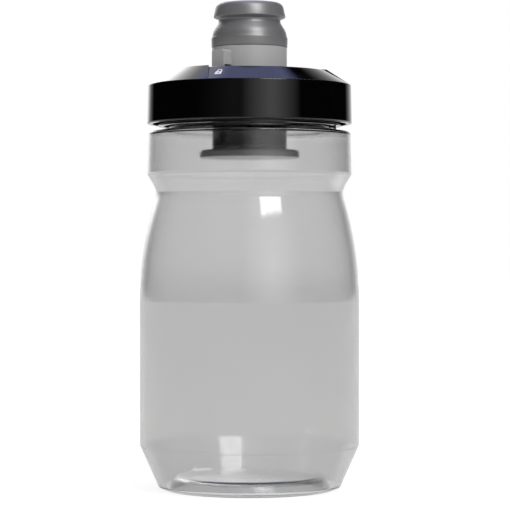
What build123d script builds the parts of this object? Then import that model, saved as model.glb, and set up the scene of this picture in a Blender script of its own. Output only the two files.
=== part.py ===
"""A squeeze bottle for a bicycle cage, with a screw cap and a quarter-turn drinking nozzle.

Millimetres, +Z up. The origin is the middle of the ring that the bottle stands on.
An azimuth is counted from the front, -Y, and grows towards +X.
"""

import os
from math import atan2, cos, degrees, radians, sin, sqrt, tan

from build123d import *

# How far joined solids run into each other and cuts run past a face, and how near counts as equal
JOIN = 0.5
TOLERANCE = 0.01

# Bottle wall, outside sizes
WALL = 1.15
BODY_RADIUS = 36.85
FOOT_INNER_RADIUS = 26.5
FOOT_OUTER_RADIUS = 28.3
PUSH_UP_RADIUS = 24.4
PUSH_UP_HEIGHT = 3.6
PUSH_UP_CROWN = 4.5
HEEL_RADIUS = 30.6
HEEL_HEIGHT = 1.0
BARREL_BOTTOM = 14.9
BARREL_TOP = 63.4
TAPER_RADIUS = 118.0
WAIST_HEIGHT = 100.2
WAIST_FILLET = 6.0
GRIP_RADIUS = 34.4
GRIP_BOTTOM = 105.8
SHOULDER_RADIUS = 34.05
SHOULDER_EDGE_HEIGHT = 119.9
SHOULDER_HEIGHT = 121.1
EDGE_FILLET = 0.9
BARREL_FILLET = 3.0
PUSH_UP_FILLET = 1.5
HEEL_FILLET = 0.6
GRIP_FILLET = 1.5

# Neck and screw thread
NECK_RADIUS = 27.2
NECK_BORE = 25.4
NECK_BORE_BOTTOM = 117.6
MOUTH_HEIGHT = 134.5
THREAD_PITCH = 5.0
THREAD_TURNS = 1.25
THREAD_BOTTOM = 124.6
THREAD_ROOT_HALF = 1.1
THREAD_CREST_HALF = 0.5
NECK_THREAD_CREST = 28.35
THREAD_SINK = 0.3

# Indexing notch in the heel
NOTCH_AZIMUTH = -145.0
NOTCH_WIDTH = 9.0
NOTCH_HEIGHT = 3.6
NOTCH_FLOOR_RADIUS = 28.8
NOTCH_CORNER = 2.4
NOTCH_REACH = 12.0

# Gasket on the mouth
GASKET_INNER = 24.8
GASKET_OUTER = 28.5
GASKET_TOP = 136.0
GASKET_BEAD = 0.25

# Cap
CAP_BOTTOM = 122.7
CAP_BOTTOM_RADIUS = 34.45
CAP_SIDE_RADIUS = 34.2
CAP_SIDE_TOP = 135.6
CAP_TOP = 140.85
CAP_TOP_RADIUS = 26.1
CAP_WALL = 1.8
CAP_EDGE_FILLET = 0.45
CAP_CEILING = 138.0
RECESS_DEPTH = 0.6
RECESS_LEFT = -13.3
RECESS_BACK = -4.0
RECESS_SPLIT = 130.0
RECESS_REACH = 60.0
RECESS_ALIGN = (Align.MIN, Align.MAX, Align.MIN)
SKIRT_BOTTOM = 121.9
SKIRT_INNER = 28.85
SKIRT_OUTER = 30.8
CAP_THREAD_CREST = 27.65
BOSS_OUTER = 15.2
BOSS_BORE = 12.75
BOSS_BOTTOM = 124.2
CEILING_LAND_RADIUS = 24.4

# Printed mark on the cap, above the place where the lug is locked
MARK_THICKNESS = 0.1
LOCKED_AZIMUTH = -19.3
MARK_RADIUS = 29.7
LOCK_BODY_WIDTH = 2.2
LOCK_BODY_HEIGHT = 2.0
LOCK_KEYHOLE = 0.36
LOCK_STROKE = 0.36
LOCK_SHACKLE_RADIUS = 0.65
LOCK_LEG = 0.8
LOCK_REACH = 12.0

# Lock cage, keyed into the cap
CAGE_OUTER = 12.6
CAGE_INNER = 11.1
CAGE_BOTTOM = 111.4
CAGE_TOP = 130.8
CAGE_FLOOR = 113.0
FLANGE_RADIUS = 16.8
FLANGE_TOP = 113.9
FLANGE_FILLET = 1.0
WINDOW_AZIMUTH = -40.0
WINDOW_WIDTH = 5.4
WINDOW_BOTTOM = 115.9
WINDOW_TOP = 119.5
TAB_AZIMUTH = -21.0
TAB_WIDTH = 4.4
TAB_HEIGHT = 0.7
TAB_INNER = 13.4
TAB_OUTER = 15.4
KEY_AZIMUTH = 180.0
KEY_WIDTH = 2.4
KEY_OUTER = 14.2
KEY_BOTTOM = 123.2
KEY_TOP = 126.2
KEY_CLEARANCE = 0.15

# Nozzle, which turns in the cap and the cage
NOZZLE_RADIUS = 12.6
NOZZLE_STEP_HEIGHT = 131.2
SPIGOT_RADIUS = 10.9
SPIGOT_BORE = 9.4
SPIGOT_BOTTOM = 113.3
SNAP_RADIUS = 11.35
SNAP_GROOVE_RADIUS = 11.5
SNAP_HEIGHT = 114.6
SNAP_HALF = 0.4
SNAP_GROOVE_HALF = 0.7
QUARTER_TURN = 90.0
PORT_WIDTH = 5.0
PORT_BOTTOM = 116.0
PORT_TOP = 119.4
NOZZLE_SHOULDER = 148.5
NOZZLE_RIM = 0.25
NOZZLE_CONE_WALL = 1.2
NOZZLE_SPIGOT_RADIUS = 11.0
NOZZLE_CONE_BOTTOM = 152.3
NOZZLE_CONE_TOP = 154.2
NOZZLE_TIP_RADIUS = 8.3
NOZZLE_TIP_BORE = 6.6
NOZZLE_TIP = 156.4
LUG_AZIMUTH = -40.0
LUG_WIDTH = 5.1
LUG_RADIUS = 16.4
LUG_TOP = 146.9
LUG_BOTTOM = 141.9
LUG_LIP_BOTTOM = 140.6
LUG_LIP = 0.6
LUG_BEVEL = 0.7

# Mouthpiece
SLEEVE_ROOM = 0.08
SLEEVE_RADIUS = 12.86
SLEEVE_TOP_RADIUS = 12.5
SLEEVE_TOP = 154.0
SLEEVE_FILLET = 2.2
BITE_NECK_RADIUS = 10.4
BITE_NECK = 156.8
BITE_NECK_FILLET = 0.7
BITE_NECK_TOP = 157.85
BITE_GROOVE_FILLET = 0.35
BITE_LIP_RADIUS = 12.15
BITE_LIP = 158.6
BITE_LIP_FILLET = 0.5
BITE_CROWN_RADIUS = 11.1
BITE_CROWN_FILLET = 1.9
BITE_TOP = 163.5
LIP_BORE = 7.0
MOUTHPIECE_BORE = 8.6

# Jet valve and its retaining ring
VALVE_SEAT = 156.5
VALVE_FLANGE_TOP = 157.6
VALVE_FLANGE_RADIUS = 8.3
VALVE_DOME_RADIUS = 5.9
VALVE_DOME_DEPTH = 3.0
VALVE_SKIN = 0.9
SLIT_WIDTH = 0.25
SLIT_LENGTH = 6.0
RETAINER_INNER = 6.2
RETAINER_OUTER = 8.4
RETAINER_TOP = 159.0
RETAINER_BEVEL = 0.3

# O-rings: (height, outer radius, inner radius)
UPPER_SEAL = (134.0, 12.71, 11.5)
LOWER_SEAL = (123.0, 11.06, 10.1)
CAGE_SEAL = (128.4, 12.71, 11.9)
SEAL_GROOVE_ROOM = 0.1

# Chamfer of the cap above its lowered quadrant, as an angle and as rise over run
CHAMFER_SLOPE = atan2(CAP_TOP - RECESS_DEPTH - CAP_SIDE_TOP, CAP_SIDE_RADIUS - CAP_TOP_RADIUS)
CHAMFER_RISE = tan(CHAMFER_SLOPE)


def outward_plane(azimuth, radius, height, tilt=0.0):
    """A plane at a point around the axis: x along the tangent, y up, z outwards and raised by tilt."""
    turn = radians(azimuth)
    lift = radians(tilt)
    outwards = Vector(sin(turn), -cos(turn), 0)
    origin = outwards * radius + Vector(0, 0, height)
    normal = outwards * cos(lift) + Vector(0, 0, sin(lift))
    return Plane(origin=origin, x_dir=(cos(turn), sin(turn), 0), z_dir=normal)


def taper_radius(height):
    """Radius of the bottle where its large arc narrows it above the barrel."""
    rise = height - BARREL_TOP
    return BODY_RADIUS - TAPER_RADIUS + sqrt(TAPER_RADIUS**2 - rise**2)


def ring(inner, outer, bottom, top, mode=Mode.ADD):
    """A plain ring about the axis, added to the part being built."""
    with BuildSketch(Plane.XY.offset(bottom)) as section:
        Circle(outer)
        Circle(inner, mode=Mode.SUBTRACT)
    extrude(section.sketch, amount=top - bottom, mode=mode)


def disc(radius, bottom, top, mode=Mode.ADD):
    """A plain disc about the axis, added to the part being built."""
    with BuildSketch(Plane.XY.offset(bottom)) as section:
        Circle(radius)
    extrude(section.sketch, amount=top - bottom, mode=mode)


def block(azimuth, inner, outer, width, bottom, top, mode=Mode.ADD):
    """A block that points outwards from the axis, between two radii and two heights."""
    with BuildSketch(outward_plane(azimuth, inner, (bottom + top) / 2)) as section:
        Rectangle(width, top - bottom)
    extrude(section.sketch, amount=outer - inner, mode=mode)


def opening(azimuth, wall_radius, width, bottom, top):
    """Cuts a window through one side of a tube, outwards from halfway to its wall."""
    block(azimuth, wall_radius / 2, wall_radius + JOIN, width, bottom, top, mode=Mode.SUBTRACT)


def seal_groove(seal, wall_radius):
    """Cuts the groove that an O-ring lies in, open towards wall_radius."""
    height, outer, inner = seal
    half = (outer - inner) / 2 + SEAL_GROOVE_ROOM
    ring(inner - SEAL_GROOVE_ROOM, wall_radius, height - half, height + half, mode=Mode.SUBTRACT)


def o_ring(seal):
    """An O-ring of round section: its height, outer radius and inner radius are given."""
    height, outer, inner = seal
    with BuildPart() as made:
        with BuildSketch(Plane.XZ):
            with Locations(((outer + inner) / 2, height)):
                Circle((outer - inner) / 2)
        revolve(axis=Axis.Z)
    return made.part


def thread_turns(root, crest, start, mode=Mode.ADD):
    """A right-hand thread swept along a helix, its foot sunk a little into the wall at root."""
    sunk = root - THREAD_SINK if crest > root else root + THREAD_SINK
    with BuildLine():
        path = Helix(THREAD_PITCH, THREAD_PITCH * THREAD_TURNS, root, center=(0, 0, start))
    with BuildSketch(Plane(origin=path @ 0, x_dir=(1, 0, 0), z_dir=path % 0)) as section:
        with BuildLine():
            Polyline(
                (sunk - root, -THREAD_ROOT_HALF),
                (crest - root, -THREAD_CREST_HALF),
                (crest - root, THREAD_CREST_HALF),
                (sunk - root, THREAD_ROOT_HALF),
                close=True,
            )
        make_face()
    sweep(section.sketch, path=path, is_frenet=True, mode=mode)


def corners_at(builder, height):
    """The corners of a section being drawn that lie at this height."""
    return builder.vertices().filter_by(lambda corner: abs(corner.Y - height) < TOLERANCE)


def body_section(inset):
    """Half section of the closed bottle below its neck, shrunk all round by inset.

    It is drawn on both sides of the axis, so that the inset leaves the floor whole.
    """
    waist_radius = taper_radius(WAIST_HEIGHT)
    with BuildSketch(Plane.XZ) as section:
        with BuildLine():
            ThreePointArc(
                (-PUSH_UP_RADIUS, PUSH_UP_HEIGHT),
                (0, PUSH_UP_CROWN),
                (PUSH_UP_RADIUS, PUSH_UP_HEIGHT),
            )
            for side in (1, -1):
                Polyline(
                    (side * PUSH_UP_RADIUS, PUSH_UP_HEIGHT),
                    (side * FOOT_INNER_RADIUS, 0),
                    (side * FOOT_OUTER_RADIUS, 0),
                    (side * HEEL_RADIUS, HEEL_HEIGHT),
                    (side * BODY_RADIUS, BARREL_BOTTOM),
                    (side * BODY_RADIUS, BARREL_TOP),
                )
                RadiusArc(
                    (side * BODY_RADIUS, BARREL_TOP),
                    (side * waist_radius, WAIST_HEIGHT),
                    -side * TAPER_RADIUS,
                )
                Polyline(
                    (side * waist_radius, WAIST_HEIGHT),
                    (side * GRIP_RADIUS, GRIP_BOTTOM),
                    (side * SHOULDER_RADIUS, SHOULDER_EDGE_HEIGHT),
                    (side * NECK_RADIUS, SHOULDER_HEIGHT),
                )
            Line((-NECK_RADIUS, SHOULDER_HEIGHT), (NECK_RADIUS, SHOULDER_HEIGHT))
        make_face()
        fillet(corners_at(section, WAIST_HEIGHT), WAIST_FILLET)
        fillet(corners_at(section, BARREL_BOTTOM), BARREL_FILLET)
        fillet(corners_at(section, PUSH_UP_HEIGHT), PUSH_UP_FILLET)
        fillet(corners_at(section, HEEL_HEIGHT), HEEL_FILLET)
        fillet(corners_at(section, GRIP_BOTTOM), GRIP_FILLET)
        fillet(corners_at(section, SHOULDER_EDGE_HEIGHT), EDGE_FILLET)
        if inset:
            offset(amount=-inset, kind=Kind.INTERSECTION)
        with Locations((BODY_RADIUS, MOUTH_HEIGHT / 2)):
            Rectangle(2 * BODY_RADIUS, 2 * MOUTH_HEIGHT, mode=Mode.INTERSECT)
    return section.sketch


def notch_block(grow, floor_radius, mode):
    """The arch-shaped block of the indexing notch, grown all round, from its floor outwards."""
    with BuildSketch(outward_plane(NOTCH_AZIMUTH, floor_radius, 0)) as arch:
        with Locations((0, (NOTCH_HEIGHT + grow) / 2)):
            Rectangle(NOTCH_WIDTH + 2 * grow, NOTCH_HEIGHT + grow)
        fillet(corners_at(arch, NOTCH_HEIGHT + grow), NOTCH_CORNER + grow / 2)
    extrude(arch.sketch, amount=NOTCH_REACH, mode=mode)


# The space inside the bottle, with the wall left standing behind the notch
with BuildPart() as cavity:
    add(body_section(WALL))
    revolve(axis=Axis.Z)
    notch_block(WALL, NOTCH_FLOOR_RADIUS - WALL, Mode.SUBTRACT)

with BuildPart() as bottle_body:
    add(body_section(0))
    revolve(axis=Axis.Z)
    notch_block(0, NOTCH_FLOOR_RADIUS, Mode.SUBTRACT)
    disc(NECK_RADIUS, SHOULDER_HEIGHT - WALL, MOUTH_HEIGHT)
    thread_turns(NECK_RADIUS, NECK_THREAD_CREST, THREAD_BOTTOM)
    add(cavity.part, mode=Mode.SUBTRACT)
    disc(NECK_BORE, NECK_BORE_BOTTOM, MOUTH_HEIGHT, mode=Mode.SUBTRACT)
bottle_body.part.label = "bottle_body"

# Soft gasket that the cap presses onto the mouth, with a bead on its upper face
with BuildPart() as mouth_gasket:
    ring(GASKET_INNER, GASKET_OUTER, MOUTH_HEIGHT, GASKET_TOP - GASKET_BEAD)
    with BuildSketch(Plane.XZ):
        with Locations(((GASKET_INNER + GASKET_OUTER) / 2, GASKET_TOP - GASKET_BEAD)):
            Ellipse((GASKET_OUTER - GASKET_INNER) / 4, GASKET_BEAD)
    revolve(axis=Axis.Z)
mouth_gasket.part.label = "mouth_gasket"


def cap_envelope(top):
    """Half section of the cap's outside, with its flat top at this height."""
    with BuildSketch(Plane.XZ) as section:
        with BuildLine():
            Polyline(
                (0, CAP_BOTTOM),
                (CAP_BOTTOM_RADIUS, CAP_BOTTOM),
                (CAP_SIDE_RADIUS, CAP_SIDE_TOP),
                (CAP_TOP_RADIUS, top),
                (0, top),
                close=True,
            )
        make_face()
        rims = section.vertices().filter_by(lambda corner: corner.X > TOLERANCE)
        fillet(rims, CAP_EDGE_FILLET)
    return section.sketch


# The lowered quadrant of the cap's top that the nozzle's lug sweeps over
with BuildPart() as lowered_quadrant:
    add(cap_envelope(CAP_TOP - RECESS_DEPTH))
    revolve(axis=Axis.Z)
    with Locations((RECESS_LEFT, RECESS_BACK, RECESS_SPLIT)):
        Box(RECESS_REACH, RECESS_REACH, RECESS_REACH, align=RECESS_ALIGN, mode=Mode.INTERSECT)

with BuildPart() as cap_shell:
    add(cap_envelope(CAP_TOP))
    revolve(axis=Axis.Z)
    with Locations((RECESS_LEFT, RECESS_BACK, RECESS_SPLIT)):
        Box(RECESS_REACH, RECESS_REACH, RECESS_REACH, align=RECESS_ALIGN, mode=Mode.SUBTRACT)
    add(lowered_quadrant.part)
    # Hollow under the chamfer, a wall's thickness below the lowered quadrant
    rim_inner = CAP_SIDE_RADIUS - CAP_WALL
    rim_ceiling = CAP_SIDE_TOP - CAP_WALL / cos(CHAMFER_SLOPE) + CAP_WALL * CHAMFER_RISE
    skirt_ceiling = rim_ceiling + (rim_inner - SKIRT_OUTER) * CHAMFER_RISE
    with BuildSketch(Plane.XZ):
        with BuildLine():
            Polyline(
                (0, SKIRT_BOTTOM - JOIN),
                (CAP_BOTTOM_RADIUS - CAP_WALL, SKIRT_BOTTOM - JOIN),
                (rim_inner, rim_ceiling),
                (SKIRT_OUTER, skirt_ceiling),
                (SKIRT_OUTER, GASKET_TOP),
                (CEILING_LAND_RADIUS, GASKET_TOP),
                (CEILING_LAND_RADIUS, CAP_CEILING),
                (0, CAP_CEILING),
                close=True,
            )
        make_face()
    revolve(axis=Axis.Z, mode=Mode.SUBTRACT)
    ring(SKIRT_INNER, SKIRT_OUTER, SKIRT_BOTTOM, GASKET_TOP + JOIN)
    thread_turns(SKIRT_INNER, CAP_THREAD_CREST, THREAD_BOTTOM - THREAD_PITCH / 2)
    disc(BOSS_OUTER, BOSS_BOTTOM, CAP_CEILING + JOIN)
    disc(BOSS_BORE, BOSS_BOTTOM, CAP_TOP, mode=Mode.SUBTRACT)
    # Slot in the boss for the cage's key
    with BuildSketch(Plane.XY.offset(BOSS_BOTTOM)):
        with Locations((0, (BOSS_OUTER + BOSS_BORE) / 2)):
            Rectangle(KEY_WIDTH + 2 * KEY_CLEARANCE, BOSS_OUTER - BOSS_BORE + 2 * JOIN)
    extrude(amount=KEY_TOP + KEY_CLEARANCE - BOSS_BOTTOM, mode=Mode.SUBTRACT)
cap_shell.part.label = "cap_shell"


def padlock():
    """A small shut padlock with a keyhole."""
    ring_height = 2 * (LOCK_LEG + LOCK_SHACKLE_RADIUS)
    SlotOverall(ring_height + LOCK_STROKE, 2 * LOCK_SHACKLE_RADIUS + LOCK_STROKE, rotation=90)
    SlotOverall(
        ring_height - LOCK_STROKE,
        2 * LOCK_SHACKLE_RADIUS - LOCK_STROKE,
        rotation=90,
        mode=Mode.SUBTRACT,
    )
    Rectangle(LOCK_REACH, LOCK_REACH, align=(Align.CENTER, Align.MIN), mode=Mode.INTERSECT)
    with Locations((0, -LOCK_BODY_HEIGHT / 2)):
        Rectangle(LOCK_BODY_WIDTH, LOCK_BODY_HEIGHT)
        Circle(LOCK_KEYHOLE, mode=Mode.SUBTRACT)


def mark_plane(azimuth):
    """Where a mark is printed: on the lowered chamfer, square to it."""
    height = CAP_SIDE_TOP + (CAP_SIDE_RADIUS - MARK_RADIUS) * CHAMFER_RISE
    return outward_plane(azimuth, MARK_RADIUS, height, 90 - degrees(CHAMFER_SLOPE))


with BuildPart() as mark_locked:
    with BuildSketch(mark_plane(LOCKED_AZIMUTH)):
        padlock()
    extrude(amount=MARK_THICKNESS)
mark_locked.part.label = "mark_locked"

# Cage that holds the nozzle from below; its windows meet the nozzle's ports when it is turned open
with BuildPart() as lock_cage:
    disc(CAGE_OUTER, CAGE_BOTTOM, CAGE_TOP)
    disc(FLANGE_RADIUS, CAGE_BOTTOM, FLANGE_TOP)
    flange_rim = lock_cage.edges().filter_by(GeomType.CIRCLE).sort_by(SortBy.RADIUS)[-2:]
    fillet(flange_rim.sort_by(Axis.Z)[-1], FLANGE_FILLET)
    disc(CAGE_INNER, CAGE_FLOOR, CAGE_TOP, mode=Mode.SUBTRACT)
    groove_bottom = SNAP_HEIGHT - SNAP_GROOVE_HALF
    disc(SNAP_GROOVE_RADIUS, groove_bottom, groove_bottom + 2 * SNAP_GROOVE_HALF, Mode.SUBTRACT)
    for azimuth in (WINDOW_AZIMUTH, WINDOW_AZIMUTH + 180):
        opening(azimuth, CAGE_OUTER, WINDOW_WIDTH, WINDOW_BOTTOM, WINDOW_TOP)
    block(TAB_AZIMUTH, TAB_INNER, TAB_OUTER, TAB_WIDTH, FLANGE_TOP - JOIN, FLANGE_TOP + TAB_HEIGHT)
    block(KEY_AZIMUTH, CAGE_OUTER - JOIN, KEY_OUTER, KEY_WIDTH, KEY_BOTTOM, KEY_TOP)
    seal_groove(CAGE_SEAL, CAGE_OUTER + JOIN)
lock_cage.part.label = "lock_cage"

# Nozzle: one tube with a lower spigot in the cage, a lug outside, and a tip that holds the valve
with BuildPart() as nozzle_tube:
    with BuildSketch(Plane.XZ):
        with BuildLine():
            Polyline(
                (SPIGOT_BORE, SPIGOT_BOTTOM),
                (SPIGOT_RADIUS, SPIGOT_BOTTOM),
                (SPIGOT_RADIUS, SNAP_HEIGHT - SNAP_HALF),
                (SNAP_RADIUS, SNAP_HEIGHT),
                (SPIGOT_RADIUS, SNAP_HEIGHT + SNAP_HALF),
                (SPIGOT_RADIUS, NOZZLE_STEP_HEIGHT),
                (NOZZLE_RADIUS, NOZZLE_STEP_HEIGHT),
                (NOZZLE_RADIUS, NOZZLE_SHOULDER - NOZZLE_RIM),
                (NOZZLE_RADIUS - NOZZLE_RIM, NOZZLE_SHOULDER),
                (NOZZLE_SPIGOT_RADIUS, NOZZLE_SHOULDER),
                (NOZZLE_SPIGOT_RADIUS, NOZZLE_CONE_BOTTOM),
                (NOZZLE_TIP_RADIUS, NOZZLE_CONE_TOP),
                (NOZZLE_TIP_RADIUS, NOZZLE_TIP),
                (NOZZLE_TIP_BORE, NOZZLE_TIP),
                (NOZZLE_TIP_BORE, NOZZLE_CONE_TOP - NOZZLE_CONE_WALL),
                (SPIGOT_BORE, NOZZLE_CONE_BOTTOM - NOZZLE_CONE_WALL),
                close=True,
            )
        make_face()
    revolve(axis=Axis.Z)
    seal_groove(UPPER_SEAL, NOZZLE_RADIUS + JOIN)
    seal_groove(LOWER_SEAL, SPIGOT_RADIUS + JOIN)
    for azimuth in (WINDOW_AZIMUTH - QUARTER_TURN, WINDOW_AZIMUTH - QUARTER_TURN + 180):
        opening(azimuth, SPIGOT_RADIUS, PORT_WIDTH, PORT_BOTTOM, PORT_TOP)
    # Lug: a block with bevelled top corners, whose outer lip hangs into the cap's lowered quadrant
    with BuildSketch(outward_plane(LUG_AZIMUTH, NOZZLE_RADIUS - JOIN, 0)) as lug_face:
        with Locations((0, (LUG_BOTTOM + LUG_TOP) / 2)):
            Rectangle(LUG_WIDTH, LUG_TOP - LUG_BOTTOM)
        chamfer(corners_at(lug_face, LUG_TOP), LUG_BEVEL)
    extrude(amount=LUG_RADIUS - NOZZLE_RADIUS + JOIN)
    block(LUG_AZIMUTH, LUG_RADIUS - LUG_LIP, LUG_RADIUS, LUG_WIDTH, LUG_LIP_BOTTOM, LUG_BOTTOM + JOIN)
nozzle_tube.part.label = "nozzle_tube"

# Soft mouthpiece pushed over the nozzle's upper spigot; the groove under its lip is for the teeth
with BuildPart() as mouthpiece:
    with BuildSketch(Plane.XZ) as bite_section:
        with BuildLine():
            Polyline(
                (NOZZLE_SPIGOT_RADIUS + SLEEVE_ROOM, NOZZLE_SHOULDER),
                (SLEEVE_RADIUS, NOZZLE_SHOULDER),
                (SLEEVE_TOP_RADIUS, SLEEVE_TOP),
                (BITE_NECK_RADIUS, BITE_NECK),
                (BITE_NECK_RADIUS, BITE_NECK_TOP),
                (BITE_LIP_RADIUS, BITE_LIP),
                (BITE_CROWN_RADIUS, BITE_TOP),
                (LIP_BORE, BITE_TOP),
                (LIP_BORE, RETAINER_TOP + JOIN),
                (MOUTHPIECE_BORE, RETAINER_TOP + JOIN),
                (MOUTHPIECE_BORE, NOZZLE_CONE_TOP),
                (NOZZLE_SPIGOT_RADIUS + SLEEVE_ROOM, NOZZLE_CONE_BOTTOM),
                close=True,
            )
        make_face()
        fillet(corners_at(bite_section, SLEEVE_TOP), SLEEVE_FILLET)
        fillet(corners_at(bite_section, BITE_NECK), BITE_NECK_FILLET)
        fillet(corners_at(bite_section, BITE_NECK_TOP), BITE_GROOVE_FILLET)
        fillet(corners_at(bite_section, BITE_LIP), BITE_LIP_FILLET)
        fillet(corners_at(bite_section, BITE_TOP), BITE_CROWN_FILLET)
    revolve(axis=Axis.Z)
mouthpiece.part.label = "mouthpiece"

# Jet valve: a thin dome, dished into the nozzle's tip, that opens at two crossed slits
with BuildPart() as jet_valve:
    dome_sphere = (VALVE_DOME_RADIUS**2 + VALVE_DOME_DEPTH**2) / (2 * VALVE_DOME_DEPTH)
    dome_centre = VALVE_SEAT - VALVE_DOME_DEPTH + dome_sphere
    inner_sphere = dome_sphere - VALVE_SKIN
    inner_radius = sqrt(inner_sphere**2 - (dome_centre - VALVE_FLANGE_TOP) ** 2)
    with BuildSketch(Plane.XZ):
        with BuildLine():
            RadiusArc((0, VALVE_SEAT - VALVE_DOME_DEPTH), (VALVE_DOME_RADIUS, VALVE_SEAT), -dome_sphere)
            Polyline(
                (VALVE_DOME_RADIUS, VALVE_SEAT),
                (VALVE_FLANGE_RADIUS, VALVE_SEAT),
                (VALVE_FLANGE_RADIUS, VALVE_FLANGE_TOP),
                (inner_radius, VALVE_FLANGE_TOP),
            )
            RadiusArc((inner_radius, VALVE_FLANGE_TOP), (0, dome_centre - inner_sphere), inner_sphere)
            Line((0, dome_centre - inner_sphere), (0, VALVE_SEAT - VALVE_DOME_DEPTH))
        make_face()
    revolve(axis=Axis.Z)
    with BuildSketch(Plane.XY.offset(VALVE_SEAT - 2 * VALVE_DOME_DEPTH)):
        Rectangle(SLIT_LENGTH, SLIT_WIDTH)
        Rectangle(SLIT_WIDTH, SLIT_LENGTH)
    extrude(amount=2 * VALVE_DOME_DEPTH, mode=Mode.SUBTRACT)
jet_valve.part.label = "jet_valve"

with BuildPart() as valve_retainer:
    ring(RETAINER_INNER, RETAINER_OUTER, VALVE_FLANGE_TOP, RETAINER_TOP)
    chamfer(valve_retainer.edges().filter_by(GeomType.CIRCLE).group_by(Axis.Z)[-1], RETAINER_BEVEL)
valve_retainer.part.label = "valve_retainer"

upper_tube_seal = o_ring(UPPER_SEAL)
upper_tube_seal.label = "upper_tube_seal"
lower_tube_seal = o_ring(LOWER_SEAL)
lower_tube_seal.label = "lower_tube_seal"
cage_seal = o_ring(CAGE_SEAL)
cage_seal.label = "cage_seal"

os.makedirs("parts", exist_ok=True)
export_step(bottle_body.part, "parts/bottle_body.step")
export_step(mouth_gasket.part, "parts/mouth_gasket.step")
export_step(cap_shell.part, "parts/cap_shell.step")
export_step(mark_locked.part, "parts/mark_locked.step")
export_step(lock_cage.part, "parts/lock_cage.step")
export_step(cage_seal, "parts/cage_seal.step")
export_step(nozzle_tube.part, "parts/nozzle_tube.step")
export_step(upper_tube_seal, "parts/upper_tube_seal.step")
export_step(lower_tube_seal, "parts/lower_tube_seal.step")
export_step(mouthpiece.part, "parts/mouthpiece.step")
export_step(jet_valve.part, "parts/jet_valve.step")
export_step(valve_retainer.part, "parts/valve_retainer.step")
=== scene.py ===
# %% [markdown]
# # A squeeze bottle for a bicycle cage
#
# The bottle is a thin blown shell under a gloss black screw cap. A grey nozzle stands in the
# cap and ends in a soft mouthpiece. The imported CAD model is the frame: it fixes every size
# and place. This script gives each hard piece its real finish, and models the soft pieces
# afresh, because moulded rubber has rounder lips, beads and flash lines than the simple
# solids that stand in for it.

# %% Load the frame
import math

import bpy
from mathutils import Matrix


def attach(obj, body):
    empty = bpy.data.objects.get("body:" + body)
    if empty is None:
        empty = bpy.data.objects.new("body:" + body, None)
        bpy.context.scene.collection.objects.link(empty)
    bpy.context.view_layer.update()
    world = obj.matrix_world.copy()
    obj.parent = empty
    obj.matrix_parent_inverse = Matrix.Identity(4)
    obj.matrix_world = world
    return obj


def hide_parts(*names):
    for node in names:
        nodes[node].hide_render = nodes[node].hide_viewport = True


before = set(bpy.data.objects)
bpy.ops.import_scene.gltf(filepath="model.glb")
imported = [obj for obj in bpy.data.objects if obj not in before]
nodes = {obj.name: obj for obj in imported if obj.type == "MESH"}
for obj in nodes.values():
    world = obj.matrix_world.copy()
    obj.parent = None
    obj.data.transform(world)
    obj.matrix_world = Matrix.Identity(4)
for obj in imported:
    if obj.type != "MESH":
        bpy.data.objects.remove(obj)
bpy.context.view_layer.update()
MM = 0.001

# %% [markdown]
# ## Colours and nodes
#
# Colours are written as sRGB hex values, as a paint chart gives them, and shaders want linear
# light, so one function converts them. Another adds a node with its settings and its links.
# It would be possible to click each node together by hand, but a function keeps a material
# down to the lines that say something about the plastic.


# %% Colour converter
def linear(hex_colour):
    """An sRGB hex colour as linear RGBA, by the curve of the sRGB standard."""
    parts = [int(hex_colour[i : i + 2], 16) / 255 for i in (1, 3, 5)]
    curved = [p / 12.92 if p <= 0.04045 else ((p + 0.055) / 1.055) ** 2.4 for p in parts]
    return (*curved, 1.0)


print("mid grey, #808080, in linear light:", round(linear("#808080")[0], 3))


# %% Node and material makers
def add_node(tree, kind, inputs=None, **settings):
    """Adds a node; each input is a value, or a socket of another node to link from."""
    node = tree.nodes.new(kind)
    for name, value in settings.items():
        setattr(node, name, value)
    for name, value in (inputs or {}).items():
        socket = node.inputs[name]
        if isinstance(value, bpy.types.NodeSocket):
            tree.links.new(value, socket)
        else:
            socket.default_value = value
    return node


def new_material(name, **plain):
    """A material with one Principled shader, whose plain inputs are set by name."""
    material = bpy.data.materials.new(name)
    material.use_nodes = True
    shader = material.node_tree.nodes["Principled BSDF"]
    for key, value in plain.items():
        shader.inputs[key.replace("_", " ")].default_value = value
    point = add_node(material.node_tree, "ShaderNodeTexCoord").outputs["Object"]
    print("finish:", name)
    return material, material.node_tree, shader, point


def wear(node, material):
    """Gives a CAD node a finish in place of its plain colour."""
    nodes[node].data.materials.clear()
    nodes[node].data.materials.append(material)
    print(node, "wears", material.name)


# %% [markdown]
# ## The studio
#
# The backdrop is plain white. A gloss black cap shows whatever stands around it, so the
# studio reflected in it matters as much as its own colour: a white wall behind, a cool
# ceiling in two steps, a bright glow behind on the left, and at the front a soft glow on the
# right, a faint wide one and a high one. Each of these could be a lamp. They are drawn as
# glows in the world shader, because a glow can fade evenly with angle, and a lamp's edge
# cannot. No real room does this, but the Light Path node lets reflections, matt surfaces and
# the backdrop each have surroundings of their own.

# %% World
bpy.context.scene.view_settings.view_transform = "Standard"
world = bpy.data.worlds.new("studio")
bpy.context.scene.world = world
world.use_nodes = True
sky = world.node_tree
sky.nodes.clear()
looking = add_node(sky, "ShaderNodeTexCoord").outputs["Generated"]
print("view transform:", bpy.context.scene.view_settings.view_transform)


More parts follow.
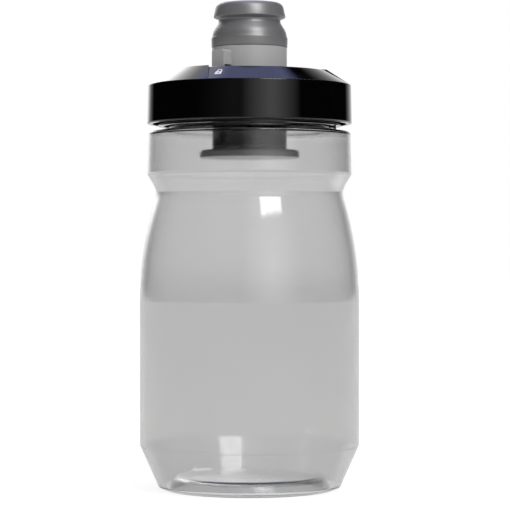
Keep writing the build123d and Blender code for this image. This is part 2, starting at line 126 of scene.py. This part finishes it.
# %% Glow maker
def glow(total, azimuth, elevation, full, faded, colour, strength):
    """Adds a round glow to a colour: even out to one angle, and gone at another."""
    turn, lift = math.radians(azimuth), math.radians(elevation)
    aim = (math.sin(turn) * math.cos(lift), -math.cos(turn) * math.cos(lift), math.sin(lift))
    near = add_node(sky, "ShaderNodeVectorMath", {0: looking, 1: aim}, operation="DOT_PRODUCT")
    angle = add_node(sky, "ShaderNodeMath", {0: near.outputs["Value"]}, operation="ARCCOSINE")
    level = add_node(
        sky,
        "ShaderNodeMapRange",
        {
            "Value": angle.outputs[0],
            "From Min": math.radians(faded),
            "From Max": math.radians(full),
            "To Max": strength,
        },
    )
    light = add_node(
        sky,
        "ShaderNodeVectorMath",
        {0: linear(colour)[:3], "Scale": level.outputs["Result"]},
        operation="SCALE",
    )
    both = add_node(sky, "ShaderNodeVectorMath", {0: light.outputs[0], 1: total}, operation="ADD")
    return both.outputs[0]


# %% Glows
# Each is azimuth, elevation, even out to, gone at (all in degrees), colour and strength.
# Azimuth 0 is the front and 180 the back, and a positive azimuth is to the right of the front.
WHITE, COOL = "#FFFFFF", "#BBC4FF"
# What a glossy surface mirrors
REFLECTED_GLOWS = (
    (180, 0, 19.0, 42.0, WHITE, 1.00),
    (180, 75, 26.0, 31.0, COOL, 1.10),
    (180, 75, 10.0, 22.0, COOL, 0.50),
    (197, 27, 3.0, 26.0, WHITE, 3.2),
    (25, 10, 2.0, 34.0, WHITE, 1.40),
    (-8, 6, 10.0, 52.0, WHITE, 0.12),
    (20, 58, 8.0, 34.0, WHITE, 1.60),
)
# What lights a matt surface: an even room, brighter above and at the front right
DIFFUSE_GLOWS = (
    (0, 0, 180.0, 181.0, WHITE, 0.36),
    (180, 80, 20.0, 80.0, WHITE, 0.80),
    (20, 10, 10.0, 60.0, WHITE, 0.90),
)
mirrored = (0.0, 0.0, 0.0)
for wanted in REFLECTED_GLOWS:
    mirrored = glow(mirrored, *wanted)
ambient = (0.0, 0.0, 0.0)
for wanted in DIFFUSE_GLOWS:
    ambient = glow(ambient, *wanted)
print("glows in the studio:", len(REFLECTED_GLOWS) + len(DIFFUSE_GLOWS))

# %% Surroundings for each kind of ray
ray = add_node(sky, "ShaderNodeLightPath").outputs
lit = add_node(
    sky,
    "ShaderNodeMix",
    {"Factor": ray["Is Diffuse Ray"], "A": linear(WHITE)[:3], "B": ambient},
    data_type="VECTOR",
)
seen = add_node(
    sky,
    "ShaderNodeMix",
    {"Factor": ray["Is Glossy Ray"], "A": lit.outputs["Result"], "B": mirrored},
    data_type="VECTOR",
)
backdrop = add_node(sky, "ShaderNodeBackground", {"Color": seen.outputs["Result"]})
add_node(sky, "ShaderNodeOutputWorld", {"Surface": backdrop.outputs["Background"]})
print("nodes in the world shader:", len(sky.nodes))

# %% [markdown]
# ## Key light, floor and camera
#
# One rectangular softbox, high at the front right, gives the bottle's shoulder its soft
# window-shaped highlight. The floor is a pale sheet. Part of its brightness is its own, as
# on a light table, so the bottle stands on white and throws almost no shadow. It looks
# brighter to the camera than it lights the bottle, because a floor bright enough to look
# white would light the clear wall from below too strongly. The camera stands low and far
# away, so the bottle's rings look almost flat.

# %% Softbox
KEY_AZIMUTH, KEY_ELEVATION = math.radians(27), math.radians(42)
KEY_DISTANCE = 1.2
KEY_TARGET = 0.09
KEY_WIDTH, KEY_HEIGHT = 0.50, 0.60
KEY_WATTS = 7.0
key = bpy.data.lights.new("key_softbox", "AREA")
key.shape = "RECTANGLE"
key.size = KEY_WIDTH
key.size_y = KEY_HEIGHT
key.energy = KEY_WATTS
lamp = bpy.data.objects.new("key_softbox", key)
bpy.context.scene.collection.objects.link(lamp)
lamp.location = (
    KEY_DISTANCE * math.sin(KEY_AZIMUTH) * math.cos(KEY_ELEVATION),
    -KEY_DISTANCE * math.cos(KEY_AZIMUTH) * math.cos(KEY_ELEVATION),
    KEY_TARGET + KEY_DISTANCE * math.sin(KEY_ELEVATION),
)
lamp.rotation_euler = (math.radians(90) - KEY_ELEVATION, 0, KEY_AZIMUTH)
lamp.visible_camera = False
print("softbox stands at", tuple(round(v, 2) for v in lamp.location))

# %% Floor
FLOOR_SIZE = 12.0
FLOOR_LIGHT = 0.66
FLOOR_LIGHT_SEEN = 0.88
bpy.ops.object.select_all(action="DESELECT")
bpy.ops.mesh.primitive_plane_add(size=FLOOR_SIZE, location=(0, 0, 0))
floor = bpy.context.object
floor.name = "studio_floor"
floor_paint, floor_tree, floor_shader, _ = new_material(
    "pale_floor_matt",
    Base_Color=linear("#747473"),
    Roughness=0.9,
    Specular_IOR_Level=0.0,
    Emission_Color=linear(WHITE),
)
floor_ray = add_node(floor_tree, "ShaderNodeLightPath").outputs
own_light = add_node(
    floor_tree,
    "ShaderNodeMapRange",
    {"Value": floor_ray["Is Camera Ray"], "To Min": FLOOR_LIGHT, "To Max": FLOOR_LIGHT_SEEN},
)
floor_tree.links.new(own_light.outputs["Result"], floor_shader.inputs["Emission Strength"])
floor.data.materials.append(floor_paint)
print("floor is", FLOOR_SIZE, "metres square")

# %% Camera
CAMERA_DISTANCE = 0.741
CAMERA_HEIGHT = 0.0799
CAMERA_AIM = (0.00185, 0.0, 0.0787)
LENS_MM, SENSOR_MM = 155.3, 36.0
lens = bpy.data.cameras.new("camera")
lens.lens = LENS_MM
lens.sensor_width = SENSOR_MM
camera = bpy.data.objects.new("camera", lens)
bpy.context.scene.collection.objects.link(camera)
camera.location = (0.0, -CAMERA_DISTANCE, CAMERA_HEIGHT)
tilt = math.atan2(CAMERA_AIM[2] - CAMERA_HEIGHT, CAMERA_DISTANCE)
pan = math.atan2(CAMERA_AIM[0], CAMERA_DISTANCE)
camera.rotation_euler = (math.radians(90) + tilt, 0, -pan)
bpy.context.scene.camera = camera
print("camera sees", round(math.degrees(lens.angle), 1), "degrees")

# %% [markdown]
# ## Turned pieces
#
# The mouthpiece, the valve, the gasket and the O-rings all come from round moulds, so each is
# one outline carried round the bottle's axis. A screw modifier on a drawn outline would do it.
# Here a circle is extruded from each point of the outline to the next, as when modelling by
# hand: lift the new ring, then scale it. The last ring lands on the first, and they are
# merged. Each corner that the real mould rounds then gets a bevel of its own width, because
# a soft lip, a sharp flash line and a square foot can't share one width.

# %% Loop picker
ROUND = 128
MERGE = 0.002 * MM
BEVEL_STEPS = 5
SMOOTH_ANGLE = math.radians(40)
print("a turned piece has", ROUND, "sides")


def select_loop(piece, radius, height):
    """Selects the round edge loop that lies at a radius and a height in millimetres."""
    bpy.ops.mesh.select_mode(type="EDGE")
    bpy.ops.mesh.select_all(action="DESELECT")
    bpy.ops.object.mode_set(mode="OBJECT")
    mesh = piece.data

    def on_loop(index):
        x, y, z = mesh.vertices[index].co
        return math.hypot(math.hypot(x, y) - radius * MM, z - height * MM) < MERGE

    for edge in mesh.edges:
        edge.select = all(on_loop(index) for index in edge.vertices)
    bpy.ops.object.mode_set(mode="EDIT")


# %% Ring maker
def turned_ring(name, outline):
    """A closed ring from an outline of (radius, height, corner rounding) in millimetres."""
    radius, height, _ = outline[0]
    bpy.ops.object.select_all(action="DESELECT")
    bpy.ops.mesh.primitive_circle_add(
        vertices=ROUND, radius=radius * MM, location=(0, 0, height * MM), fill_type="NOTHING"
    )
    piece = bpy.context.object
    piece.name = name
    bpy.ops.object.transform_apply(location=True, rotation=False, scale=False)
    bpy.ops.object.mode_set(mode="EDIT")
    for next_radius, next_height, _ in outline[1:] + outline[:1]:
        lift = (next_height - height) * MM
        bpy.ops.mesh.extrude_region_move(TRANSFORM_OT_translate={"value": (0, 0, lift)})
        grow = next_radius / radius
        middle = (0, 0, next_height * MM)
        bpy.ops.transform.resize(value=(grow, grow, 1), center_override=middle)
        radius, height = next_radius, next_height
    bpy.ops.mesh.select_all(action="SELECT")
    bpy.ops.mesh.remove_doubles(threshold=MERGE)
    bpy.ops.mesh.normals_make_consistent(inside=False)
    for corner_radius, corner_height, rounding in outline:
        if rounding:
            select_loop(piece, corner_radius, corner_height)
            bpy.ops.mesh.bevel(offset=rounding * MM, segments=BEVEL_STEPS)
    bpy.ops.object.mode_set(mode="OBJECT")
    bpy.ops.object.shade_smooth_by_angle(angle=SMOOTH_ANGLE)
    return piece


# %% Placing a piece
def place(piece, node, body, material):
    """Lets a new piece stand for a CAD node, ride on its body and wear its finish."""
    piece.data.materials.clear()
    piece.data.materials.append(material)
    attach(piece, body)
    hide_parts(node)
    print(piece.name, "has", len(piece.data.polygons), "faces")


# %% [markdown]
# ## Soft finishes
#
# The mouthpiece is a thermoplastic elastomer with a smoke tint. It is satin, so its
# highlights are broad and soft. The real one lets a little light in, but in so thick a wall
# that hardly shows, so it is opaque here. The valve is natural silicone, paler and a little
# see-through. The gasket and the O-rings are black rubber. One flat grey would be simpler,
# but moulded rubber is never even: its tint is mottled and its sheen comes and goes. Its
# grain is far finer than a millimetre, and is drawn coarser than life to show at all.

# %% Rubber patterns
RUBBER_MOTTLE, RUBBER_SHEEN = 4.0 * MM, 0.9 * MM
SHEEN_SWING = 0.06
GRAIN_DEPTH = 0.006 * MM
print("rubber is mottled at", RUBBER_MOTTLE / MM, "mm")


def rubber(name, dark, pale, rough, grain_mm, **plain):
    """Satin rubber: a mottled tint, an uneven sheen and a fine grain."""
    material, tree, shader, point = new_material(name, **plain)
    mottle = add_node(
        tree, "ShaderNodeTexNoise", {"Vector": point, "Scale": 1 / RUBBER_MOTTLE, "Detail": 2.0}
    )
    tint = add_node(
        tree,
        "ShaderNodeMix",
        {"Factor": mottle.outputs["Fac"], "A": linear(dark), "B": linear(pale)},
        data_type="RGBA",
    )
    sheen = add_node(
        tree, "ShaderNodeTexNoise", {"Vector": point, "Scale": 1 / RUBBER_SHEEN, "Detail": 3.0}
    )
    least, most = rough - SHEEN_SWING, rough + SHEEN_SWING
    spread = add_node(
        tree,
        "ShaderNodeMapRange",
        {"Value": sheen.outputs["Fac"], "To Min": least, "To Max": most},
    )
    grain = add_node(
        tree, "ShaderNodeTexNoise", {"Vector": point, "Scale": 1 / (grain_mm * MM), "Detail": 2.0}
    )
    relief = add_node(
        tree,
        "ShaderNodeBump",
        {"Height": grain.outputs["Fac"], "Distance": GRAIN_DEPTH, "Strength": 0.4},
    )
    tree.links.new(tint.outputs["Result"], shader.inputs["Base Color"])
    tree.links.new(spread.outputs["Result"], shader.inputs["Roughness"])
    tree.links.new(relief.outputs["Normal"], shader.inputs["Normal"])
    return material


# %% Rubber finishes
mouth_rubber = rubber(
    "tpe_smoke_satin", "#5A5A5C", "#616163", 0.38, 0.35, IOR=1.6, Specular_IOR_Level=1.0
)
valve_rubber = rubber(
    "silicone_natural_satin", "#BFBFBD", "#CBCBC9", 0.32, 0.30, IOR=1.43, Transmission_Weight=0.35
)
seal_rubber = rubber("epdm_black_satin", "#131313", "#1C1C1C", 0.42, 0.30, IOR=1.5)

# %% [markdown]
# ## Mouthpiece
#
# The real one is moulded in one piece and stretched over the nozzle's tip. It has a straight
# sleeve with a soft shoulder, a narrow neck that the teeth close on, a lip over it, and a
# slanted crown round the mouth. Outside corners are well rounded, as they are bitten on, and
# the corners that lie hidden on the nozzle stay sharp, as the tube's own corners fill them.

# %% Mouthpiece
MOUTHPIECE_OUTLINE = [
    (11.08, 148.50, 0),
    (12.74, 148.50, 0.20),
    (12.84, 151.50, 0.25),
    (12.62, 151.95, 0.20),
    (12.20, 153.90, 1.0),
    (10.40, 156.70, 0.50),
    (10.40, 157.85, 0.22),
    (12.15, 158.60, 0.30),
    (11.10, 163.45, 1.70),
    (7.00, 163.45, 0.60),
    (7.00, 159.50, 0.20),
    (8.60, 159.50, 0),
    (8.60, 154.20, 0),
    (11.08, 152.30, 0),
]
mouth = turned_ring("soft_mouthpiece", MOUTHPIECE_OUTLINE)
place(mouth, "mouthpiece", "nozzle", mouth_rubber)

# %% [markdown]
# ## Jet valve
#
# A silicone valve shuts by its own spring: a thin dome dished towards the drink, with two
# crossed slits. It is turned like the other rings, down to a pinhole at its middle where the
# slits cross. The slits are then cut with a boolean, because they must be real gaps between
# four petals. A dark line in the material would vanish in the mesh that is exported.

# %% Valve dome
PINHOLE = 0.16
DOME_OUTSIDE = [(PINHOLE, 153.50), (1.5, 153.69), (3.0, 154.25), (4.5, 155.20), (5.4, 156.00)]
DOME_INSIDE = [(5.1, 157.25), (4.4, 156.40), (3.0, 155.24), (1.5, 154.62), (PINHOLE, 154.42)]
VALVE_RIM = [(5.9, 156.5, 0.12), (8.3, 156.5, 0), (8.3, 157.6, 0), (5.5, 157.6, 0.25)]
valve_outline = [(r, z, 0) for r, z in DOME_OUTSIDE]
valve_outline += VALVE_RIM
valve_outline += [(r, z, 0) for r, z in DOME_INSIDE]
valve = turned_ring("silicone_valve", valve_outline)
print("valve turned from", len(valve_outline), "rings")

# %% Valve slits
SLIT_LENGTH, SLIT_WIDTH, SLIT_DEPTH = 6.0, 0.22, 6.0
SLIT_HEIGHT = 154.0
for turn in (0, 90):
    bpy.ops.object.select_all(action="DESELECT")
    bpy.ops.mesh.primitive_cube_add(size=MM, location=(0, 0, SLIT_HEIGHT * MM))
    blade = bpy.context.object
    blade.scale = (SLIT_LENGTH, SLIT_WIDTH, SLIT_DEPTH)
    blade.rotation_euler = (0, 0, math.radians(turn))
    bpy.ops.object.transform_apply(location=True, rotation=True, scale=True)
    cut = valve.modifiers.new("slit", "BOOLEAN")
    cut.operation = "DIFFERENCE"
    cut.solver = "EXACT"
    cut.object = blade
    bpy.context.view_layer.objects.active = valve
    bpy.ops.object.modifier_apply(modifier=cut.name)
    bpy.data.objects.remove(blade, do_unlink=True)
place(valve, "jet_valve", "nozzle", valve_rubber)

# %% [markdown]
# ## Gasket and O-rings
#
# The mouth gasket is a flat ring with a raised bead on its upper face, so the cap seals with
# little force. An O-ring is a round cord of rubber with a hair-fine flash line inside and
# outside, where the halves of its mould met. The ring tool gives them that line as a real
# ridge. A torus would leave it out.

# %% Gasket
GASKET_OUTLINE = [
    (24.80, 134.50, 0),
    (28.50, 134.50, 0.15),
    (28.50, 135.72, 0.25),
    (27.30, 135.72, 0),
    (26.95, 135.95, 0.12),
    (26.35, 135.95, 0.12),
    (26.00, 135.72, 0),
    (24.80, 135.72, 0.25),
]
gasket = turned_ring("beaded_mouth_gasket", GASKET_OUTLINE)
place(gasket, "mouth_gasket", "gasket", seal_rubber)

# %% O-rings
CORD_STEPS = 16
FLASH = 0.03
# Each is piece, CAD node, body, and then height, cord's middle and cord's radius in millimetres
SEALS = (
    ("cage_o_ring", "cage_seal", "cap", 128.4, 12.305, 0.405),
    ("upper_tube_o_ring", "upper_tube_seal", "nozzle", 134.0, 12.105, 0.605),
    ("lower_tube_o_ring", "lower_tube_seal", "nozzle", 123.0, 10.58, 0.480),
)
for seal_name, seal_node, body, height, middle, thickness in SEALS:
    cord_outline = []
    for step in range(CORD_STEPS):
        around = 2 * math.pi * step / CORD_STEPS
        reach = thickness if step % (CORD_STEPS // 2) == 0 else thickness - FLASH
        cord_outline.append(
            (middle + reach * math.cos(around), height + reach * math.sin(around), 0)
        )
    place(turned_ring(seal_name, cord_outline), seal_node, body, seal_rubber)

# %% [markdown]
# ## Blown bottle
#
# The bottle is low-density polyethylene with a smoke tint, blown into a mould. The wall is
# see-through but a little milky, its surface is slightly wavy where the wall thinned unevenly,
# and it has a fine orange peel. A Glass shader could make it, but the Principled shader takes
# the haze and the tint as well. Full transmission with a pale tint gives the smoke: light
# crosses two walls, so the tint counts more than once. Waves are about 24 mm long and two
# hundredths of a millimetre deep.

# %% Bottle finish
TINT_DRIFT, MILK_CLOUD, WALL_WAVE, ORANGE_PEEL = 30 * MM, 9 * MM, 24 * MM, 1.2 * MM
WAVE_DEPTH, WALL_PEEL_DEPTH = 0.02 * MM, 0.001 * MM
smoke, tree, shader, point = new_material("ldpe_smoke_blown", IOR=1.5, Transmission_Weight=1.0)
uneven = add_node(
    tree, "ShaderNodeTexNoise", {"Vector": point, "Scale": 1 / TINT_DRIFT, "Detail": 1.0}
)
smoke_tint = add_node(
    tree,
    "ShaderNodeMix",
    {"Factor": uneven.outputs["Fac"], "A": linear("#DFDFDF"), "B": linear("#E2E2E2")},
    data_type="RGBA",
)
milk = add_node(
    tree, "ShaderNodeTexNoise", {"Vector": point, "Scale": 1 / MILK_CLOUD, "Detail": 2.0}
)
haze = add_node(
    tree, "ShaderNodeMapRange", {"Value": milk.outputs["Fac"], "To Min": 0.05, "To Max": 0.11}
)
waves = add_node(
    tree, "ShaderNodeTexNoise", {"Vector": point, "Scale": 1 / WALL_WAVE, "Detail": 1.0}
)
rolling = add_node(
    tree,
    "ShaderNodeBump",
    {"Height": waves.outputs["Fac"], "Distance": WAVE_DEPTH, "Strength": 0.6},
)
wall_peel = add_node(
    tree, "ShaderNodeTexNoise", {"Vector": point, "Scale": 1 / ORANGE_PEEL, "Detail": 2.0}
)
wall_skin = add_node(
    tree,
    "ShaderNodeBump",
    {
        "Height": wall_peel.outputs["Fac"],
        "Distance": WALL_PEEL_DEPTH,
        "Strength": 0.3,
        "Normal": rolling.outputs["Normal"],
    },
)
tree.links.new(smoke_tint.outputs["Result"], shader.inputs["Base Color"])
tree.links.new(haze.outputs["Result"], shader.inputs["Roughness"])
tree.links.new(wall_skin.outputs["Normal"], shader.inputs["Normal"])
wear("bottle_body", smoke)

# %% [markdown]
# ## Gloss black cap
#
# The cap is polypropylene from a polished mould. Almost all that one sees on it is mirrored
# studio, so the base is nearly black, and the roughness is low but not even: handling leaves
# soft cloudy patches about 6 mm wide. A coat over a black base would mirror as well, but bare
# plastic has no lacquer, and one gloss layer at its own IOR is enough.

# %% Cap finish
CAP_CLOUD = 6 * MM
CAP_PEEL_DEPTH = 0.0015 * MM
black, tree, shader, point = new_material("polypropylene_black_gloss", IOR=1.49)
cloud = add_node(
    tree, "ShaderNodeTexNoise", {"Vector": point, "Scale": 1 / CAP_CLOUD, "Detail": 3.0}
)
black_tint = add_node(
    tree,
    "ShaderNodeMix",
    {"Factor": cloud.outputs["Fac"], "A": linear("#010101"), "B": linear("#040405")},
    data_type="RGBA",
)
polish = add_node(
    tree, "ShaderNodeMapRange", {"Value": cloud.outputs["Fac"], "To Min": 0.05, "To Max": 0.10}
)
cap_peel = add_node(
    tree, "ShaderNodeTexNoise", {"Vector": point, "Scale": 1 / ORANGE_PEEL, "Detail": 2.0}
)
cap_skin = add_node(
    tree,
    "ShaderNodeBump",
    {"Height": cap_peel.outputs["Fac"], "Distance": CAP_PEEL_DEPTH, "Strength": 0.25},
)
tree.links.new(black_tint.outputs["Result"], shader.inputs["Base Color"])
tree.links.new(polish.outputs["Result"], shader.inputs["Roughness"])
tree.links.new(cap_skin.outputs["Normal"], shader.inputs["Normal"])
wear("cap_shell", black)

# %% [markdown]
# ## Nozzle and cage
#
# Both are injection-moulded copolyester, tinted grey. The nozzle and its retainer look
# frosted: some light goes through, and spreads as it does. The cage is smoother. Light and
# shade are painted into their tints by height. The nozzle's spigot stands in shade inside the
# cage and is painted darker than the tube above the cap. The cage's wall is dark, and its
# flange, at its foot, is painted paler as painted light. Each could be two materials with a
# sharp border. One function makes both instead, with one tint below a height and one above.

# %% Copolyester
# The painted light and shade fade in over this many millimetres on each side of the height.
LIGHT_AND_SHADE_FADE = 1
FLOW_LINE = 3 * MM
GLOSS_SWING = 0.04
RIPPLE_DEPTH = 0.003 * MM
print("the tint changes over", 2 * LIGHT_AND_SHADE_FADE, "mm")


def copolyester(name, below, above, change_mm, clear, rough):
    """Grey copolyester with painted light and shade: its tint changes smoothly round a height."""
    material, tree, shader, point = new_material(name, IOR=1.55, Transmission_Weight=clear)
    split = add_node(tree, "ShaderNodeSeparateXYZ", {"Vector": point})
    level = add_node(
        tree,
        "ShaderNodeMapRange",
        {
            "Value": split.outputs["Z"],
            "From Min": (change_mm - LIGHT_AND_SHADE_FADE) * MM,
            "From Max": (change_mm + LIGHT_AND_SHADE_FADE) * MM,
        },
    )
    # Painted light and shade: one tint below the height and another above it, blended by level.
    tint = add_node(
        tree,
        "ShaderNodeMix",
        {"Factor": level.outputs["Result"], "A": linear(below), "B": linear(above)},
        data_type="RGBA",
    )
    flow = add_node(
        tree, "ShaderNodeTexNoise", {"Vector": point, "Scale": 1 / FLOW_LINE, "Detail": 2.0}
    )
    least, most = rough - GLOSS_SWING, rough + GLOSS_SWING
    gloss = add_node(
        tree,
        "ShaderNodeMapRange",
        {"Value": flow.outputs["Fac"], "To Min": least, "To Max": most},
    )
    ripple = add_node(
        tree,
        "ShaderNodeBump",
        {"Height": flow.outputs["Fac"], "Distance": RIPPLE_DEPTH, "Strength": 0.3},
    )
    tree.links.new(tint.outputs["Result"], shader.inputs["Base Color"])
    tree.links.new(gloss.outputs["Result"], shader.inputs["Roughness"])
    tree.links.new(ripple.outputs["Normal"], shader.inputs["Normal"])
    return material


# %% Nozzle and cage finishes
# The nozzle is painted darker below 131.2 mm as shade inside the cage. The cage is painted paler
# below 114.6 mm as light on its flange.
nozzle_grey = copolyester("copolyester_grey_frosted_painted_shade", "#3A3C3C", "#B6B6B7", 131.2, 0.30, 0.40)
cage_smoke = copolyester("copolyester_smoke_satin_painted_light", "#A2A4A4", "#262828", 114.6, 0.20, 0.18)
wear("nozzle_tube", nozzle_grey)
wear("valve_retainer", nozzle_grey)
wear("lock_cage", cage_smoke)

# %% [markdown]
# ## Printed mark
#
# The padlock on the cap is pad printed: a thin film of white ink that is pressed on by a
# soft pad. A flat white would look like a sticker. The film is not quite even, and the black
# shines through where it is thin, so the white is slightly cool and mottled at about 0.4 mm.

# %% Ink
INK_MOTTLE = 0.4 * MM
INK_DEPTH = 0.004 * MM
ink, tree, shader, point = new_material("pad_print_white", Roughness=0.5)
film = add_node(
    tree, "ShaderNodeTexNoise", {"Vector": point, "Scale": 1 / INK_MOTTLE, "Detail": 2.0}
)
ink_tint = add_node(
    tree,
    "ShaderNodeMix",
    {"Factor": film.outputs["Fac"], "A": linear("#B6B8C8"), "B": linear("#D8D9E4")},
    data_type="RGBA",
)
ink_edge = add_node(
    tree,
    "ShaderNodeBump",
    {"Height": film.outputs["Fac"], "Distance": INK_DEPTH, "Strength": 0.5},
)
tree.links.new(ink_tint.outputs["Result"], shader.inputs["Base Color"])
tree.links.new(ink_edge.outputs["Normal"], shader.inputs["Normal"])
wear("mark_locked", ink)
